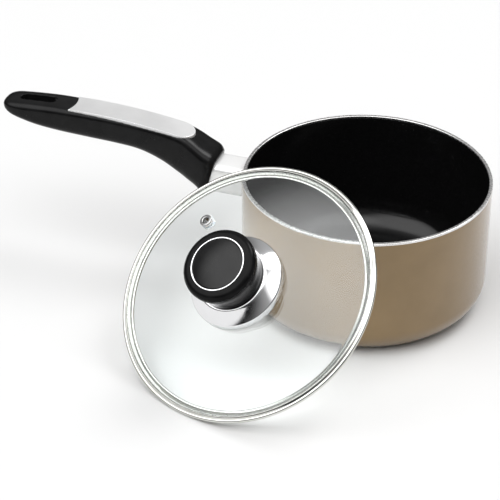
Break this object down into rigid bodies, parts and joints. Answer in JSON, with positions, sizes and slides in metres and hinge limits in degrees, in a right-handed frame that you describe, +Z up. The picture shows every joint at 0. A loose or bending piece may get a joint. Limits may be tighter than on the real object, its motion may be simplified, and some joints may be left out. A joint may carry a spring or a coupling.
{
  "type": "saucepan with glass lid",
  "caption": "Saucepan with a straight wall, a long hanging handle and a domed glass lid with a knob, leaning on the rim.",
  "frame": {"origin": "centre of the pan's flat base, on the surface it stands on", "axes": "+Z up along the pan's axis; the handle points along -X; the lid leans on the -Y side"},
  "size_m": [0.3335, 0.2529, 0.1058],
  "materials": {
    "bare_aluminium": "bare, fine turned grooves on the base",
    "bronze_enamel": "champagne-bronze metallic enamel, satin gloss",
    "nonstick": "black non-stick lining, low sheen",
    "bracket_steel": "plain plated steel",
    "polished_steel": "bright rolled steel sheet",
    "black_phenolic": "moulded phenolic resin, semi-matt",
    "satin_silver": "satin silver with bright bevelled edges",
    "clear_glass": "clear tempered glass",
    "band_steel": "polished stainless strip",
    "silicone": "translucent white silicone",
    "mirror_chrome": "mirror-polished",
    "gloss_black": "smooth, slightly domed",
    "brass": "turned"
  },
  "bodies": {
    "pan": {"pan_shell": "bare_aluminium", "outer_enamel": "bronze_enamel", "nonstick_coating": "nonstick", "handle_bracket": "bracket_steel", "bracket_nut": "bracket_steel", "flame_guard": "polished_steel", "handle_grip": "black_phenolic", "handle_insert": "satin_silver", "handle_screw": "bracket_steel", "handle_washer": "bracket_steel"},
    "lid": {"lid_glass": "clear_glass", "lid_rim_band": "band_steel", "vent_eyelet": "polished_steel", "vent_gasket": "silicone", "knob_skirt": "mirror_chrome", "knob_body": "black_phenolic", "knob_ring": "mirror_chrome", "knob_cap": "gloss_black", "knob_insert": "brass", "upper_gasket": "silicone", "lower_gasket": "silicone", "knob_washer": "bracket_steel", "knob_screw": "bracket_steel"}
  },
  "joints": [
    {"name": "lid_lift", "type": "slide", "parent": "pan", "child": "lid", "axis": [0, 0, 1], "range_m": [0, 0.15]}
  ]
}
